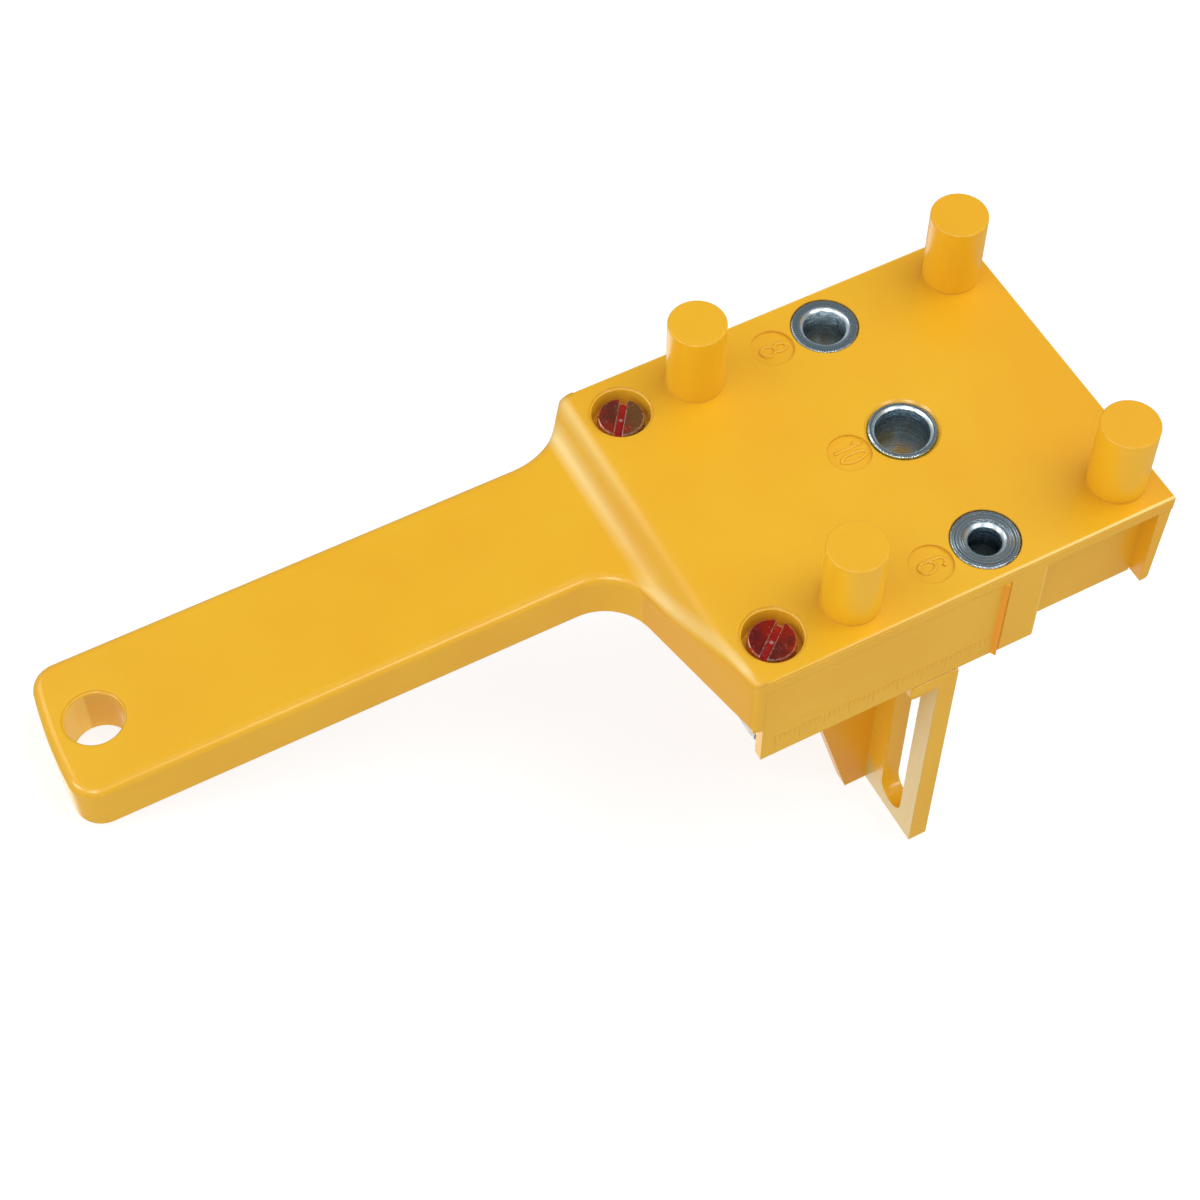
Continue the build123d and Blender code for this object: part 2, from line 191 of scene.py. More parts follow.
# Yellow plastic: moulded and glossy, with a faint orange peel, cloudy colour and handling scratches, and with
# painted highlights, reflections, light and shade at its edges, walls, fence and pins
plasticLook = {
    "colour": (0.82, 0.455, 0.016),
    "warm": (0.80, 0.40, 0.009),
    "specular": 0.5,
    "roughness": 0.30,
    "grainSize": 0.55,
    "grainShare": 0.24,
    "patchSize": 22.0,
    "patchFade": (0.35, 0.7),
    "patchShare": 0.6,
    "farShadeShare": 0.7,  # painted shade: the far end is darker and warmer
    "peelSize": 5.0,
    "peelDepth": 0.00006,
    "peelStrength": 0.6,
    "scratch": (0.92, 0.62, 0.2),
    "scratchShare": 0.10,
    "longSqueeze": (0.06, 2.4, 2.4),  # scratches along the jig
    "longFade": (0.70, 0.76),
    "crossSqueeze": (1.9, 0.12, 0.5),  # fainter ones across it
    "crossFade": (0.76, 0.80),
    "crossShare": 0.6,
    "markShadeColour": (0.88, 0.345, 0.003),  # painted shade: the pointed mark in the middle of each skirt is painted a deeper orange, as its visible slope mirrors something dark
    "edgeHighlightColour": (0.98, 0.72, 0.24),  # painted highlight on the long top edges and the pillars' far edges
    "pillarHighlightShare": 0.6,
    "crestHighlightShare": 0.9,
    "seatShadeColour": (0.16, 0.07, 0.01),  # painted shade in the thin gap round each bushing
    "seatShadeShare": 0.7,
    # painted shade on the gussets under the head
    "gussetShadeColour": (0.78, 0.34, 0.001),
    # painted reflection: the fence's back face is paler along its outer stiles and its foot
    "stileReflectionColour": (0.66, 0.46, 0.12),
    "counterboreLightColour": (0.98, 0.56, 0.03),  # painted light on the counterbores' walls
    "holeLightColour": (0.98, 0.70, 0.14),  # painted light on the hanging hole's wall
    "holeLightShares": (0.35, 0.65),  # all over, and in its bands
    "bandSqueeze": 0.32,
    "bandFade": (0.40, 0.52),
    "bandHighlightColour": (0.94, 0.75, 0.33),  # painted highlights: the pale bands where the ramp and the neck's edge are rounded
    "bandHighlightShare": 0.7,
    "footHighlightShares": (0.15, 0.2, 0.65),  # along the ramp's foot: all over, to the middle, to the back
    "crownHighlightShare": 0.55,
    "slantHighlightShares": (0.65, 0.35),  # along the slanting edge: to the front, and once more near the corner
    "slantHighlightShare": 0.8,
    "slantShadeColour": (0.76, 0.36, 0.006),  # painted shade: the neck's slanting front wall is painted duller
    "slantShadeShare": 0.8,
    # painted light on the pins' sides
    "pinLightColour": (0.94, 0.52, 0.015),
    "pinLightShare": 0.6,
    "rampRounding": 0.0018,
    "edgeRounding": 0.0002,
}

# Where the plastic's masks fade in, in the jig's own millimetres. With three numbers, the first is the
# middle that the distance is taken from.
plasticPlaces = {
    "farEnd": (10, 30),
    "skirtFace": (35.0, 35.15),
    "belowLip": (-3.4, -3.5),
    "pillarEdge": (8.22, 0.15, 0.05),
    "crestAcross": (34.78, 34.85),
    "crestUp": (-0.45, -0.3),
    "crestForward": (-45, 30),
    "mark": (0, 1.04, 0.96),
    "seatRadius": (6.52, 6.33),
    "belowShelf": (-28, -30),
    "gussetForward": (-11.0, -11.2),
    "plateBack": (-10.77, -10.79),
    "stileAcross": (30.25, 30.85),
    "fenceFoot": (-76, -80),
    "counterboreRadius": (5.5, 5.45),
    "counterboreUp": (-0.12, -0.28),
    "holeRadius": (5.6, 5.45),
    "holeUp": (-4.4, -4.6),
    "toMiddle": (-28, 0),
    "toBack": (0, 29),
    "rampFoot": (-54.2, 2.1, 0.25),
    "rampCrown": (-50.5, 1.7, 0.25),
    "crownAcross": (-3.5, 31.5),
    "slantStart": (0.3, 0.8),
    "slantEnd": (2.5, 1.4),
    "slantAcross": (-34.5, -31),
    "slantFront": (-1, -10),
    "slantCorner": (-25, -31),
    "neckUp": (-5.6, -5.0),
    "neckForward": (-49.0, -49.5),
    "wallStart": (-0.15, -0.07),
    "wallEnd": (0.25, 0.1),
    "wallAcross": (-2, -5),
    "pinFoot": (0.4, 0.8),
    "pinTop": (15.9, 15.7),
    "ramp": (-52.1, 5.0, 3.6),
    "rampUp": (-5.0, -4.5),
}
slantingWall = {"forward": 57.3, "facing": (0.979, 0.203)}  # the plane of the neck's slanting front wall


def yellowPlastic(name):
    look, at = plasticLook, plasticPlaces
    f = Finish(name, Specular_IOR_Level=look["specular"])
    outward = abs(f.across)
    grain = f.noise(f.place, look["grainSize"], 1)
    peel = f.noise(f.place, look["peelSize"], 1)
    patch = f.noise(f.place, look["patchSize"], 2)
    scratch = f.streaks(look["longSqueeze"], look["longFade"], 2)
    scratch += f.streaks(look["crossSqueeze"], look["crossFade"], 2) * look["crossShare"]
    warmth = f.fade(patch, *look["patchFade"]) * look["patchShare"] + grain * look["grainShare"]
    # painted shade: darker and warmer towards the far end
    warmth += f.fade(f.forward, *at["farEnd"]) * look["farShadeShare"]
    colour = f.blend(warmth, look["colour"], look["warm"])
    colour = f.blend(scratch * look["scratchShare"], colour, look["scratch"])

    # Skirts: painted highlights on the pillar's far edge and the crest of the long edge, and painted shade on
    # the orange mark
    skirt = f.fade(outward, *at["skirtFace"]) * f.fade(f.up, *at["belowLip"])
    edge = f.fadeFrom(f.forward, *at["pillarEdge"]) * skirt
    crest = f.fade(outward, *at["crestAcross"]) * f.fade(f.up, *at["crestUp"])
    crest *= f.fade(f.forward, *at["crestForward"])
    colour = f.blend(edge * look["pillarHighlightShare"] + crest * look["crestHighlightShare"], colour, look["edgeHighlightColour"])
    colour = f.blend(f.fadeFrom(f.forward, *at["mark"]) * skirt, colour, look["markShadeColour"])
    # Painted shade in the thin gap round each bushing
    for across in bushingAcross.values():
        gapShade = f.fade(f.radius(0, across), *at["seatRadius"])
        colour = f.blend(gapShade * look["seatShadeShare"], colour, look["seatShadeColour"])

    # Fence: painted shade on the gussets, and a painted pale reflection on the back face along its outer
    # stiles and its foot
    fence = f.fade(f.up, *at["belowShelf"])
    gussetShade = f.fade(f.forward, *at["gussetForward"]) * fence
    colour = f.blend(gussetShade, colour, look["gussetShadeColour"])
    stileReflection = f.fade(outward, *at["stileAcross"]) + f.fade(f.up, *at["fenceFoot"])
    stileReflection *= f.fade(f.forward, *at["plateBack"]) * (fence - gussetShade)
    colour = f.blend(stileReflection, colour, look["stileReflectionColour"])

    # Painted light on the walls of the counterbores, and on the hanging hole's wall in bands
    for across in screwAcross.values():
        counterboreLight = f.fade(f.radius(screwForward, across), *at["counterboreRadius"])
        colour = f.blend(counterboreLight * f.fade(f.up, *at["counterboreUp"]), colour, look["counterboreLightColour"])
    holeLight = f.fade(f.radius(*hangingHole), *at["holeRadius"]) * f.fade(f.up, *at["holeUp"])
    lightBandNoise = f.noise(f.join(f.forward * look["bandSqueeze"], 0.3, 0.6), 1.0, 1)
    allOver, inBands = look["holeLightShares"]
    holeLight *= allOver + f.fade(lightBandNoise, *look["bandFade"]) * inBands
    colour = f.blend(holeLight, colour, look["holeLightColour"])

    # Painted highlights: pale bands along the ramp's foot and crown, strongest at the back, and along the
    # slanting front edge
    allOver, middle, back = look["footHighlightShares"]
    toBack = allOver + f.fade(f.across, *at["toMiddle"]) * middle + f.fade(f.across, *at["toBack"]) * back
    foot = f.fadeFrom(f.forward, *at["rampFoot"]) * toBack
    crown = f.fadeFrom(f.forward, *at["rampCrown"]) * f.fade(f.across, *at["crownAcross"])
    crown *= look["crownHighlightShare"]
    facing = slantingWall["facing"]
    inward = (f.forward + slantingWall["forward"]) * facing[0] + f.across * facing[1]
    slant = f.fade(inward, *at["slantStart"]) * f.fade(inward, *at["slantEnd"])
    slant *= f.fade(f.across, *at["slantAcross"])
    front, corner = look["slantHighlightShares"]
    slant *= f.fade(f.across, *at["slantFront"]) * front + f.fade(f.across, *at["slantCorner"]) * corner
    neck = f.fade(f.up, *at["neckUp"]) * f.fade(f.forward, *at["neckForward"])
    paleHighlight = (foot + crown + slant * look["slantHighlightShare"]) * neck
    colour = f.blend(paleHighlight * look["bandHighlightShare"], colour, look["bandHighlightColour"])
    # Painted shade on the slanting front wall
    slantWallShade = f.fade(inward, *at["wallStart"]) * f.fade(inward, *at["wallEnd"])
    slantWallShade *= f.fade(f.across, *at["wallAcross"])
    colour = f.blend(slantWallShade * look["slantShadeShare"], colour, look["slantShadeColour"])
    # Painted light on the pins' sides
    pinLight = f.fade(f.up, *at["pinFoot"]) * f.fade(f.up, *at["pinTop"])
    colour = f.blend(pinLight * look["pinLightShare"], colour, look["pinLightColour"])

    # The ramp is rounded more than the other edges, and rougher, as the slanting wall is
    ramp = f.fadeFrom(f.forward, *at["ramp"]) * f.fade(f.up, *at["rampUp"])
    soft = ramp * look["rampRounding"] + look["edgeRounding"]
    relief = f.bump(peel * 0.9 - scratch * 0.03, look["peelDepth"], look["peelStrength"], soft)
    rough = look["roughness"] + (patch - 0.5) * 0.10 + scratch * 0.06 + ramp * 0.10 + slantWallShade * 0.25
    return f.give(Base_Color=colour, Roughness=rough, Normal=relief)


bodyPlastic = yellowPlastic("yellow_plastic_body")
fencePlastic = yellowPlastic("yellow_plastic_fence")
for node, plastic in {"jig_body": bodyPlastic, "fence": fencePlastic}.items():
    frame["nodes"][node].data.materials.clear()
    frame["nodes"][node].data.materials.append(plastic)
print("plastic laid on the solids")


# Bushing steel: turned face with rings round its own axis, drawn bore, bluish, with painted light in the
# bore, a painted highlight on the mouth and painted glints on the teeth
bushingLook = {
    "steel": (0.34, 0.46, 0.53),
    "shade": (0.22, 0.31, 0.375),
    "ringsAndHighlights": (0.78, 0.86, 0.90),  # the turned rings, and the painted highlights on the mouth and teeth and painted light in the drawn bore
    "roughness": 0.27,
    "turningSize": 0.5,
    "broadSize": 0.9,
    "broadFade": (0.35, 0.65),
    "spotSize": 0.8,
    # painted glints on the knurl's teeth
    "glintSize": 0.35,
    "glintFade": (0.48, 0.60),
    "toothRadius": (5.92, 6.03),
    "ringSize": 0.30,  # bright rings on the face
    "ringFade": (0.50, 0.60),
    "lineSize": 0.45,  # bright lines round the bore
    "lineFade": (0.46, 0.58),
    "boreShadeDepth": (-1, -7),  # painted shade: the bore's painted light fades between these depths
    "grooveDepth": 0.00006,
}


def bushingSteel(name, size):
    look = bushingLook
    f = Finish(name, Metallic=1.0)
    radius = f.radius(0, size["across"])
    bore = size["bore"] / 2
    rim = bore + size["mouth"]
    turning = f.noise(f.join(radius, 0.3, f.up * 0.9 + 0.3), look["turningSize"], 2, 0.6)
    broad = f.noise(f.join(radius, 3.0, f.up * 0.3), look["broadSize"], 2)
    spots = f.noise(f.place, look["spotSize"], 3)
    glints = f.noise(f.place, look["glintSize"], 1)
    shading = f.fade(broad, *look["broadFade"]) * 0.6 + spots * 0.3
    colour = f.blend(shading, look["steel"], look["shade"])
    # Bright turned rings on the face and lines down the drawn bore, painted light in the bore that fades with
    # depth, a painted highlight on the mouth and painted glints on the teeth
    ringNoise = f.noise(f.join(radius, 6.0, 0.0), look["ringSize"], 1)
    lineNoise = f.noise(f.join(0.3, 6.0, f.up), look["lineSize"], 1)
    rings = f.fade(ringNoise, *look["ringFade"]) * size["rings"]
    lines = f.fade(lineNoise, *look["lineFade"]) * size["rings"]
    drawn = f.fade(radius, bore + 0.03, bore + 0.01)
    # painted highlight on the mouth's chamfer
    mouthHighlight = f.fade(radius, bore + 0.02, bore + 0.06) * f.fade(radius, rim + 0.06, rim)
    teeth = f.fade(radius, *look["toothRadius"]) * f.fade(glints, *look["glintFade"])
    boreDepthFalloff = 1 - f.fade(f.up, *look["boreShadeDepth"]) * 0.7
    ringsAndHighlights = rings * 0.65 + drawn * (boreDepthFalloff * size["drawn"] + lines * 0.3) + mouthHighlight * 0.6 + teeth * 0.9
    colour = f.blend(ringsAndHighlights, colour, look["ringsAndHighlights"])
    rough = look["roughness"] + (turning - 0.5) * 0.2 + (spots - 0.5) * 0.12 + mouthHighlight * 0.06
    strength = 0.8 - drawn * (0.6 - size["grooves"]) - mouthHighlight * 0.5
    relief = f.bump(turning + rings, look["grooveDepth"], strength)
    return f.give(Base_Color=colour, Roughness=rough, Normal=relief)


# Passivated steel of the screws: a red to purple film, olive where it is thin, silver where a
# driver scraped it, and a painted highlight round the rim
screwLook = {
    "red": (0.62, 0.034, 0.018),
    "purple": (0.27, 0.030, 0.032),
    "olive": (0.32, 0.15, 0.06),
    # silver where scraped, and the painted highlight round the rim
    "bareAndHighlight": (0.80, 0.74, 0.70),
    "slotRed": (0.52, 0.012, 0.008),
    "roughness": 0.30,
    "metallic": 0.9,
    "filmSize": 2.6,
    "filmFade": (0.40, 0.62),
    "oliveTilt": (0.10, 0.06),  # olive gains along the jig and to its front
    "oliveFade": (0.45, 0.70),
    "fineSize": 0.5,
    "slotSide": (0.69, 0.625),
    "slotDepth": (-1.55, -1.75),
    "burrInner": (0.66, 0.70),
    "burrOuter": (0.84, 0.79),
    "burrFade": (0.42, 0.55),
    "rimHighlightRadius": (3.95, 4.03),
    "rimHighlightFade": (0.38, 0.5),
    "nickPlace": (0.2, 0.45),
    "nickRadius": (0.42, 0.22),
    "wornSqueeze": (5.0, 0.8, 1.0),
    "wornFade": (0.66, 0.72),
    "grainDepth": 0.00004,
}


def passivatedSteel(name, x, y, angle, oliveShare):
    look = screwLook
    f = Finish(name)
    film = f.noise(f.place, look["filmSize"], 3)
    fine = f.noise(f.place, look["fineSize"], 4, 0.7)
    colour = f.blend(f.fade(film, *look["filmFade"]), look["red"], look["purple"])
    forward, across = f.forward - x, f.across - y
    along, toFront = look["oliveTilt"]
    side = f.fade(forward * along - across * toFront + film, *look["oliveFade"])
    colour = f.blend((0.25 + side * 0.75) * oliveShare, colour, look["olive"])
    # The slot's red floor, its scraped burrs, a painted highlight round the rim and one nick
    slant = radians(angle)
    fromSlot = abs(across * cos(slant) - forward * sin(slant))
    inSlot = f.fade(fromSlot, *look["slotSide"]) * f.fade(f.up, *look["slotDepth"])
    burr = f.fade(fromSlot, *look["burrInner"]) * f.fade(fromSlot, *look["burrOuter"])
    burr *= f.fade(fine, *look["burrFade"])
    # painted highlight round the head's rounded rim
    rim = f.fade(f.radius(x, y), *look["rimHighlightRadius"]) * f.fade(fine, *look["rimHighlightFade"])
    nickForward, nickAcross = look["nickPlace"]
    nick = f.fade(f.radius(x + nickForward, y + nickAcross), *look["nickRadius"])
    worn = f.streaks(look["wornSqueeze"], look["wornFade"], 3)
    colour = f.blend(inSlot, colour, look["slotRed"])
    colour = f.blend(worn * 0.35 + burr * 0.75 + rim * 0.45 + nick * 0.6, colour, look["bareAndHighlight"])
    rough = look["roughness"] + (fine - 0.5) * 0.3
    metal = look["metallic"] - inSlot * 0.6
    relief = f.bump(fine + worn, look["grainDepth"], 0.5)
    return f.give(Base_Color=colour, Roughness=rough, Metallic=metal, Normal=relief)


# Zinc on the nuts: pale and cloudy
zincLook = {
    "zinc": (0.66, 0.65, 0.62),
    "cloud": (0.52, 0.51, 0.49),
    "cloudSize": 1.8,
    "cloudFade": (0.35, 0.7),
    "fineSize": 0.25,
    "roughness": 0.38,
    "grainDepth": 0.00004,
}


def zincSteel(name):
    look = zincLook
    f = Finish(name, Metallic=1.0)
    cloud = f.noise(f.place, look["cloudSize"], 4, 0.6)
    fine = f.noise(f.place, look["fineSize"], 2)
    colour = f.blend(f.fade(cloud, *look["cloudFade"]), look["zinc"], look["cloud"])
    rough = look["roughness"] + (cloud - 0.5) * 0.3
    return f.give(Base_Color=colour, Roughness=rough, Normal=f.bump(fine + cloud, look["grainDepth"], 0.5))


# Meshes are built in the jig's millimetres and turned to its lean at the end
def makePiece(name, bm, material, body):
    mesh = bpy.data.meshes.new(name)
    bmesh.ops.recalc_face_normals(bm, faces=bm.faces)
    bm.transform((jigTurn * mm).to_4x4())
    bm.to_mesh(mesh)
    bm.free()
    for face in mesh.polygons:
        face.use_smooth = True
    mesh.set_sharp_from_angle(angle=radians(32))
    mesh.materials.append(material)
    piece = bpy.data.objects.new(name, mesh)
    bpy.context.collection.objects.link(piece)
    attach(piece, body)
    return piece


# Skins a stack of rings; each ring is a list of points with the same count
def skin(bm, rings, closed=True, around=True):
    rows = [[bm.verts.new(p) for p in ring] for ring in rings]
    count = len(rows[0])
    pairs = list(zip(rows, rows[1:])) + ([(rows[-1], rows[0])] if closed else [])
    for low, high in pairs:
        for i in range(count if around else count - 1):
            j = (i + 1) % count
            bm.faces.new((low[i], low[j], high[j], high[i]))
    return rows


# A ring whose radius and height are numbers, or change from point to point
def ringPoints(x, y, radius, height, steps, shift=0.0):
    points = []
    for i in range(steps):
        r, z = (part(i) if callable(part) else part for part in (radius, height))
        a = tau * (i + shift) / steps
        points.append((x + r * cos(a), y + r * sin(a), z))
    return points


# Guide bushings: turned rings, knurled round the outside where they bite into the plastic
# Each bushing also gives how strongly its turned rings show, how much light is painted into its bore, and how
# much its grooves show
bushings = {
    "bushing_6": {"bore": 6.0, "mouth": 0.7, "bite": 0.14, "rings": 1.0, "drawn": 0.3, "grooves": 0.2},
    "bushing_8": {"bore": 8.0, "mouth": 0.6, "bite": 0.12, "rings": 0.3, "drawn": 1.3, "grooves": 0.0},
    "bushing_10": {"bore": 10.0, "mouth": 0.5, "bite": 0.05, "rings": 0.5, "drawn": 0.2, "grooves": 0.5},
}
bushingSizes = {"outer": 6.3, "length": 20.0, "chamfer": 0.3, "teeth": 84}


def makeBushing(name, size):
    bore, mouth = size["bore"] / 2, size["mouth"]
    outer, length, chamfer = (bushingSizes[key] for key in ("outer", "length", "chamfer"))
    wave = (0.0, 0.55, 1.0, 0.55)  # one tooth

    def knurl(radius, share):
        return lambda i: radius - share * size["bite"] * wave[i % len(wave)]

    outline = [
        (bore, -length + chamfer), (bore, -mouth - 0.05), (bore + 0.04, -mouth + 0.04),
        (bore + mouth - 0.06, -0.05), (bore + mouth + 0.05, 0.0),
        (outer - 0.42, 0.0), (knurl(outer - 0.20, 0.7), -0.03), (knurl(outer - 0.05, 1), -0.14),
        (knurl(outer, 1), -0.32), (knurl(outer, 1), -length + chamfer),
        (outer - chamfer, -length), (bore + chamfer, -length),
    ]
    bm = bmesh.new()
    steps = bushingSizes["teeth"] * len(wave)
    skin(bm, [ringPoints(0, size["across"], radius, z, steps) for radius, z in outline])
    piece = makePiece(name + "_turned", bm, bushingSteel(name + "_steel", size), "head")
    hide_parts(name)


for name, size in bushings.items():
    makeBushing(name, {**size, "across": bushingAcross[name]})
print("bushings turned and knurled")


# Clamping screws: slotted cheese heads with a rolled M5 thread
screwSizes = {
    "top": -1.4, "headRadius": 4.3, "headHeight": 3.3, "rounding": 0.4, "headSteps": 96,
    "slotWidth": 1.4, "slotDepth": 1.7, "cutterReach": 6, "cutterRise": 2, "burr": 0.07,
    "length": 25.0, "plainLength": 1.0,
    "major": 2.5, "minor": 2.06, "pitch": 0.8, "ridgeFoot": 0.30, "ridgeCrest": 0.06,
    "coreSteps": 48, "turnSteps": 40, "runOut": 30,  # the thread rises and dies out over so many steps
}
screwPlaces = {"front": {"angle": 38.4, "olive": 0.15}, "back": {"angle": 54.0, "olive": 1.0}}
axisHole = 0.02  # a ring this small stands for a point on the axis


# The slot's cutter: the corners of a turned block, low and high
def slotPoints(x, y, angle):
    size = screwSizes
    length, width = size["cutterReach"], size["slotWidth"] / 2
    c, s = cos(radians(angle)), sin(radians(angle))
    corners = [(-length, -width), (length, -width), (length, width), (-length, width)]
    heights = (size["top"] - size["slotDepth"], size["top"] + size["cutterRise"])
    return [[(x + u * c - v * s, y + u * s + v * c, z) for u, v in corners] for z in heights]


# The rounded head with its slot cut and its edges burred, as the start of the whole screw's mesh
def cutHead(x, y, angle, under):
    size = screwSizes
    top, r, soft = size["top"], size["headRadius"], size["rounding"]
    bends = [pi / 2 * k / 5 for k in range(6)]
    outline = [(axisHole, top - 0.02), (0.5, top - 0.015), (1.2, top)]
    outline += [(r - soft + soft * sin(bend), top - soft + soft * cos(bend)) for bend in bends]
    outline += [(r, under + 0.15), (r - 0.15, under), (size["minor"], under), (axisHole, under)]
    headRings = [ringPoints(x, y, radius, z, size["headSteps"]) for radius, z in outline]
    solids = []
    for name, rings in (("head", headRings), ("cutter", slotPoints(x, y, angle))):
        bm = bmesh.new()
        rows = skin(bm, rings, closed=False)
        bm.faces.new(rows[0])
        bm.faces.new(rows[-1])
        bmesh.ops.recalc_face_normals(bm, faces=bm.faces)
        mesh = bpy.data.meshes.new(name)
        bm.to_mesh(mesh)
        bm.free()
        solids.append(bpy.data.objects.new(name, mesh))
        bpy.context.collection.objects.link(solids[-1])
    head, cutter = solids
    cut = head.modifiers.new("slot", "BOOLEAN")
    cut.operation, cut.object, cut.solver = "DIFFERENCE", cutter, "EXACT"
    bevel = head.modifiers.new("burr", "BEVEL")
    bevel.width, bevel.segments = size["burr"], 2
    bevel.limit_method, bevel.angle_limit = "ANGLE", radians(50)
    bm = bmesh.new()
    bm.from_mesh(head.evaluated_get(bpy.context.evaluated_depsgraph_get()).to_mesh())
    for solid in solids:
        bpy.data.objects.remove(solid)
    return bm


# The core, and the thread's ridge wound round it
def windThread(bm, x, y, under):
    size = screwSizes
    core, crest, turn, runOut = size["minor"], size["major"], size["turnSteps"], size["runOut"]
    tip = under - size["length"]
    stack = [(core, under + 0.05), (core, tip + 0.4), (core - 0.4, tip), (axisHole, tip)]
    rows = skin(bm, [ringPoints(x, y, radius, z, size["coreSteps"]) for radius, z in stack], closed=False)
    bm.faces.new(rows[-1])
    inside = core - 0.05  # the ridge's foot sits a little inside the core
    foot, flat = size["ridgeFoot"], size["ridgeCrest"]
    ridge = [(inside, foot), (crest, flat), (crest, -flat), (inside, -foot)]
    start = under - size["plainLength"]
    count = int((start - tip - 0.5) / size["pitch"] * turn)
    strips = []
    for k in range(count + 1):
        share = min(1, k / runOut, (count - k) / runOut)
        a = tau * k / turn
        z = start - size["pitch"] * k / turn
        profile = [(inside + (radius - inside) * share, z + rise) for radius, rise in ridge]
        strips.append([(x + radius * cos(a), y + radius * sin(a), height) for radius, height in profile])
    skin(bm, strips, closed=False, around=False)


def makeScrew(place, angle, olive):
    x, y = screwForward, screwAcross[place]
    under = screwSizes["top"] - screwSizes["headHeight"]
    bm = cutHead(x, y, angle, under)
    windThread(bm, x, y, under)
    steel = passivatedSteel("passivated_screw_" + place, x, y, angle, olive)
    piece = makePiece("clamp_screw_" + place + "_threaded", bm, steel, place + "_screw")
    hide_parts("clamp_screw_" + place)


for place, screw in screwPlaces.items():
    makeScrew(place, **screw)
print("screws cut and threaded")


# Square nuts: the lower corners are turned off in a cone, and the bore is countersunk at both ends
nutSizes = {
    "bore": 2.55, "countersink": 0.3, "flat": 3.75, "corner": 1.26, "coneTurn": 30.0,
    "edge": 0.12, "steps": 120,
}


# The lowest and highest of a solid's points along the jig's own axes, in millimetres
def levelSpan(node):
    points = [v.co for v in frame["nodes"][node].data.vertices]
    spans = [[p.dot(axis) / mm for p in points] for axis in jigAxes]
    return [(min(s), max(s)) for s in spans]


def makeNut(place):
    size = nutSizes
    (left, right), (near, far), (low, high) = levelSpan("clamp_nut_" + place)
    x, y, half = (left + right) / 2, (near + far) / 2, (right - left) / 2
    steps, bore, sink = size["steps"], size["bore"], size["countersink"]

    # The distance from the axis to the square's side, which is turned off at its corners
    def side(i):
        a = tau * (i + 0.5) / steps
        return min(half / max(abs(cos(a)), abs(sin(a))), half * size["corner"])

    def cone(i):
        return low + max(0.06, (side(i) - size["flat"]) * tan(radians(size["coneTurn"])))

    outline = [
        (bore, low + sink), (bore + sink, low), (size["flat"] - 0.1, low), (side, cone),
        (side, high - size["edge"]), (lambda i: side(i) - size["edge"], high),
        (bore + sink, high), (bore, high - sink),
    ]
    bm = bmesh.new()
    skin(bm, [ringPoints(x, y, radius, z, steps, shift=0.5) for radius, z in outline])
    piece = makePiece("clamp_nut_" + place + "_forged", bm, nutZinc, place + "_nut")
    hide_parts("clamp_nut_" + place)


nutZinc = zincSteel("zinc_nuts")
for place in screwPlaces:
    makeNut(place)
print("nuts formed")


def oval(x, y, long, wide, steps):
    return [(x + long * cos(tau * k / steps), y + wide * sin(tau * k / steps)) for k in range(steps)]


# Raised numbers in the round recesses: up is towards the far end, and they read from back to front
numberLook = {"disc": -11.0, "floor": -0.5, "stroke": 0.36}
strokes = {
    "six": (27.2, False, [
        (1.9, 1.05), (2.55, 0.75), (2.78, 0.05), (2.4, -0.6), (1.2, -0.92), (-0.4, -1.02),
        (-1.6, -0.85), (-2.25, -0.25), (-2.25, 0.45), (-1.75, 1.1), (-0.9, 1.32), (0.05, 1.15),
        (0.65, 0.65), (0.72, 0.05), (0.45, -0.5), (-0.2, -0.95)]),
    "eightTop": (-27.2, True, oval(1.55, 0.15, 1.15, 0.92, 10)),
    "eightLow": (-27.2, True, oval(-0.95, 0.12, 1.35, 1.15, 10)),
    "one": (0.0, False, [(-2.3, -1.1), (0.4, -1.17), (3.1, -1.25)]),
    "oneFlag": (0.0, False, [(3.1, -1.25), (2.3, -1.5), (1.6, -1.95)]),
    "nought": (0.0, True, oval(0.45, 0.95, 2.5, 0.88, 12)),
}


# A round bead on the head, along lines of points: straight runs, or smoothed by a spline
def bead(name, lines, radius, closed=False, smooth=False):
    curve = bpy.data.curves.new(name, "CURVE")
    curve.dimensions = "3D"
    curve.bevel_depth = radius * mm
    curve.bevel_resolution = 3
    curve.resolution_u = 6
    curve.use_fill_caps = True
    for points in lines:
        spline = curve.splines.new("BEZIER")
        spline.bezier_points.add(len(points) - 1)
        for knot, point in zip(spline.bezier_points, points):
            knot.co = jigPoint(*point)
            knot.handle_left_type = knot.handle_right_type = "AUTO" if smooth else "VECTOR"
        spline.use_cyclic_u = closed
    piece = bpy.data.objects.new(name, curve)
    bpy.context.collection.objects.link(piece)
    piece.data.materials.append(bodyPlastic)
    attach(piece, "head")


for name, (right, closed, points) in strokes.items():
    line = [(numberLook["disc"] + u, -(right + v), numberLook["floor"]) for u, v in points]
    bead("number_" + name, [line], numberLook["stroke"], closed, smooth=True)
print("numbers raised")

# A fine bead runs along the lip, just below each of the head's long edges
lipBead = {"from": -46.5, "to": 33.6, "across": 35.18, "height": -0.95, "radius": 0.13}

# A fine scale along both skirts: a tick at each 1 mm, and every fifth one longer
scaleLook = {
    "line": -19.3, "from": -45.7, "to": -2.2, "firstTick": 0.4, "skirt": 35.045,
    "tick": 3.4, "shortTick": 1.6, "radius": 0.07,
}


def makeLipBead(side, name):
    line = [(lipBead[end], side * lipBead["across"], lipBead["height"]) for end in ("from", "to")]
    bead(name, [line], lipBead["radius"])


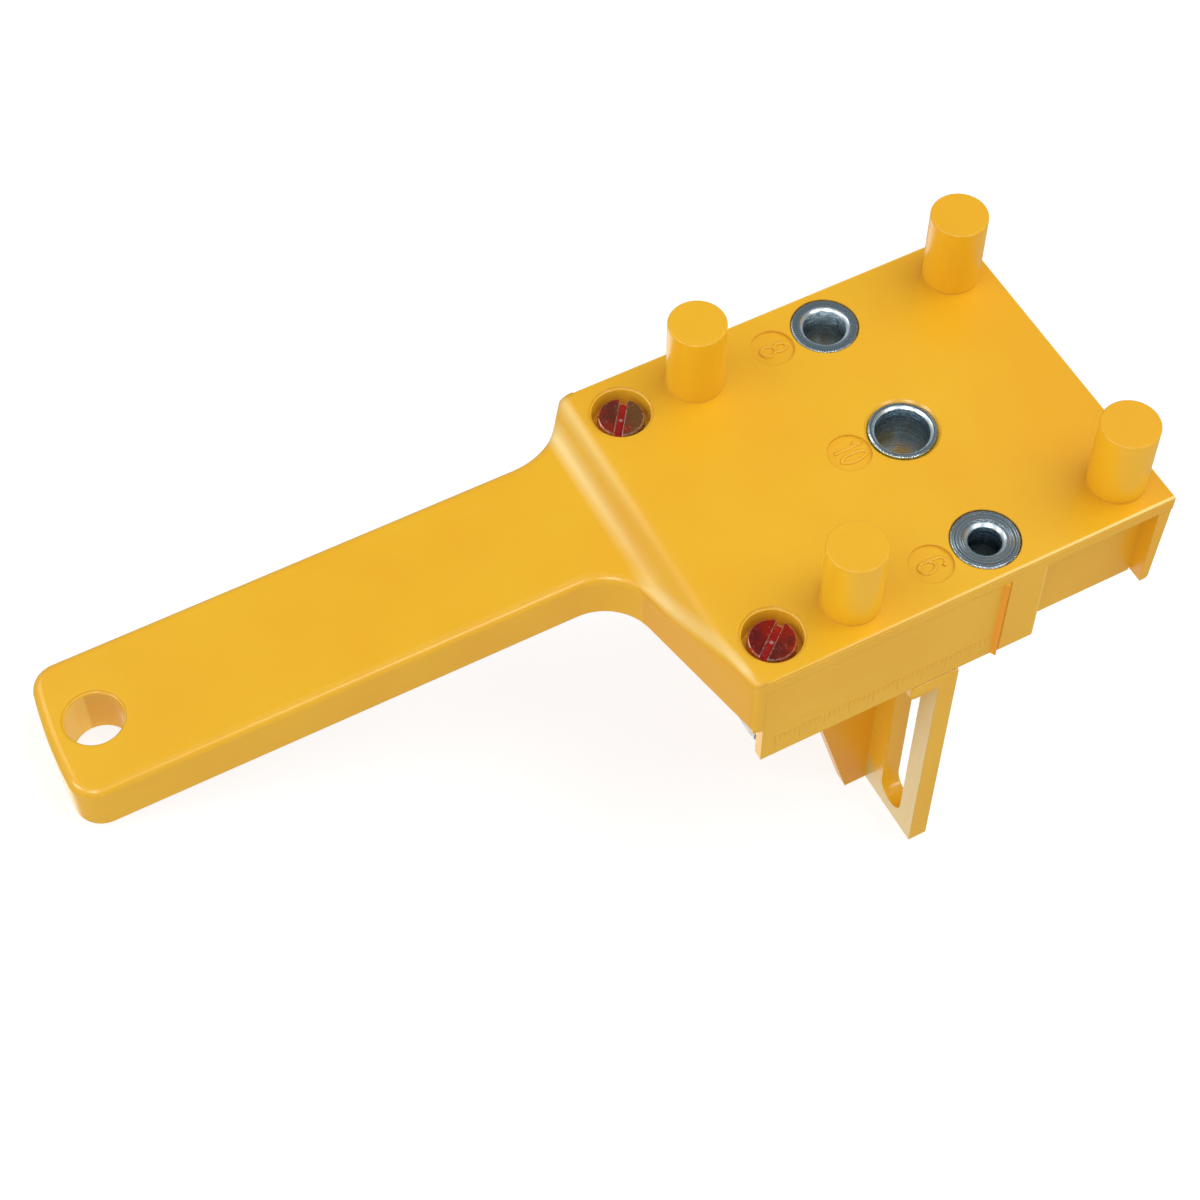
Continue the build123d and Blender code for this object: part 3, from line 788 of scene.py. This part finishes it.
def makeScale(side, name):
    look = scaleLook
    y, z = side * look["skirt"], look["line"]
    lines = [[(look["from"], y, z), (look["to"], y, z)]]
    for k in range(int(look["to"] - look["from"]) + 1):
        x = look["from"] + look["firstTick"] + k
        reach = look["tick"] if k % 5 == 0 else look["shortTick"]
        lines.append([(x, y, z), (x, y, z - reach)])
    bead(name, lines, look["radius"])


sides = {"front": -1, "back": 1}
for place, side in sides.items():
    makeLipBead(side, "lip_bead_" + place)
for place, side in sides.items():
    makeScale(side, "scale_" + place)
print("lips beaded and scales laid on the skirts")


# Studio: a plain near-white floor, soft boxes, and a pale room with a dimmer ceiling
studio = {
    "floorColour": (0.25, 0.25, 0.25),
    "floorShade": (0.22, 0.22, 0.22),
    "floorGlow": 0.84,
    "floorReach": 3.0,
    "floorSteps": 24,
    "speckSize": 3.0,
    "horizon": 0.44,
    "middle": 0.8,  # the room's light as a share of the horizon's, and its heights
    "middleHeight": 0.35,
    "ceiling": 0.32,
    "ceilingHeight": 0.75,
    "topLoss": 0.2,
    "below": 0.35,
    "belowFade": (0, -0.2),
    "belowBack": 1.55,  # the paper behind the jig, which its left sides mirror
    "backWay": (0.209, 0.531, -0.822),
    "backFade": (0.940, 0.985),
    "centre": (-0.06, 0.0, -0.02),
    "distance": 1.1,
    # Each light: its direction from the centre, width, height and power
    "boxes": {
        "overhead": ((0.12, -0.13, 0.98), 1.10, 1.00, 8.0),
        "left": ((-0.95, 0.10, 0.42), 0.80, 0.50, 3.0),
        "fill": ((-0.60, -0.42, 0.68), 0.90, 0.90, 2.4),
        "right": ((0.80, -0.35, 0.48), 0.70, 0.50, 1.7),
    },
    # Strips that only show as highlights on rounded edges
    "strips": {
        "front": ((0.03, -0.83, 0.56), 0.55, 0.16, 3.4),
        "oblique": ((-0.72, -0.64, 0.28), 0.45, 0.26, 5.0),
        "counterboreLight": ((-0.99, 0.06, 0.10), 0.50, 0.22, 4.5),
        "ramp": ((-0.62, 0.64, 0.40), 0.32, 0.58, 2.2),
    },
}


def layFloor():
    look = studio
    bm = bmesh.new()
    reach, steps = look["floorReach"], look["floorSteps"]
    spots = [-reach + 2 * reach * i / steps for i in range(steps + 1)]
    skin(bm, [[(x, y, cadLow[2]) for x in spots] for y in spots], closed=False, around=False)
    mesh = bpy.data.meshes.new("studio_floor")
    bm.to_mesh(mesh)
    bm.free()
    paper = Finish("floor_paper", Specular_IOR_Level=0.1, Emission_Strength=look["floorGlow"])
    speck = paper.noise(paper.place, look["speckSize"], 2)
    tint = paper.blend(speck * 0.05, look["floorColour"], look["floorShade"])
    mesh.materials.append(paper.give(Base_Color=tint, Emission_Color=(1, 1, 1), Roughness=0.85 + speck * 0.1))
    floor = bpy.data.objects.new("studio_floor", mesh)
    bpy.context.collection.objects.link(floor)
    floor.visible_glossy = False  # the room below gives the reflections


def paintRoom():
    look = studio
    world = bpy.data.worlds.new("studio_room")
    bpy.context.scene.world = world
    world.use_nodes = True
    sky = Bench(world.node_tree)
    place = sky.node("ShaderNodeTexCoord", {}, take="Generated")
    height = sky.dot(place, (0, 0, 1))
    horizon, ceiling = look["horizon"], look["ceiling"]
    middle = horizon * look["middle"]
    light = horizon - sky.fade(height, 0, look["middleHeight"]) * (horizon - middle)
    light -= sky.fade(height, look["middleHeight"], look["ceilingHeight"]) * (middle - ceiling)
    light -= sky.fade(height, look["ceilingHeight"], 1) * ceiling * look["topLoss"]
    under = sky.fade(height, *look["belowFade"])
    back = sky.fade(sky.dot(place, look["backWay"]), *look["backFade"])
    light = light - under * (horizon - look["below"]) + back * look["belowBack"]
    sky.feed(world.node_tree.nodes["Background"].inputs["Color"], light)


def hangLights():
    look = studio
    centre = Vector(look["centre"])
    for name, (direction, width, height, power) in {**look["boxes"], **look["strips"]}.items():
        lamp = bpy.data.lights.new(name + "_softbox", "AREA")
        lamp.shape = "RECTANGLE"
        lamp.size, lamp.size_y, lamp.energy = width, height, power
        softbox = bpy.data.objects.new(name + "_softbox", lamp)
        softbox.location = centre + Vector(direction) * look["distance"]
        softbox.rotation_euler = (centre - softbox.location).to_track_quat("-Z", "Y").to_euler()
        softbox.visible_diffuse = name in look["boxes"]
        softbox.visible_glossy = name in look["strips"]
        bpy.context.collection.objects.link(softbox)


layFloor()
paintRoom()
hangLights()
print("studio lit")

# The camera stands where the photograph's did: its place and turn are the jig's own
photoCamera = {
    "lens": 77.598,
    "sensor": 36,
    "nearest": 0.01,
    "place": (-179.864, -226.107, 364.578),
    "turn": (0.92756975, 0.28529668, -0.06971181, -0.23099876),
}
lens = bpy.data.cameras.new("photo_camera")
lens.lens = photoCamera["lens"]
lens.sensor_width = photoCamera["sensor"]
lens.clip_start = photoCamera["nearest"]
camera = bpy.data.objects.new("photo_camera", lens)
cameraTurn = jigTurn @ Quaternion(photoCamera["turn"]).to_matrix()
camera.matrix_world = Matrix.Translation(jigPoint(*photoCamera["place"])) @ cameraTurn.to_4x4()
bpy.context.collection.objects.link(camera)
bpy.context.scene.camera = camera
bpy.context.scene.view_settings.view_transform = "Standard"
bpy.context.scene.view_settings.look = "None"
print("camera placed")
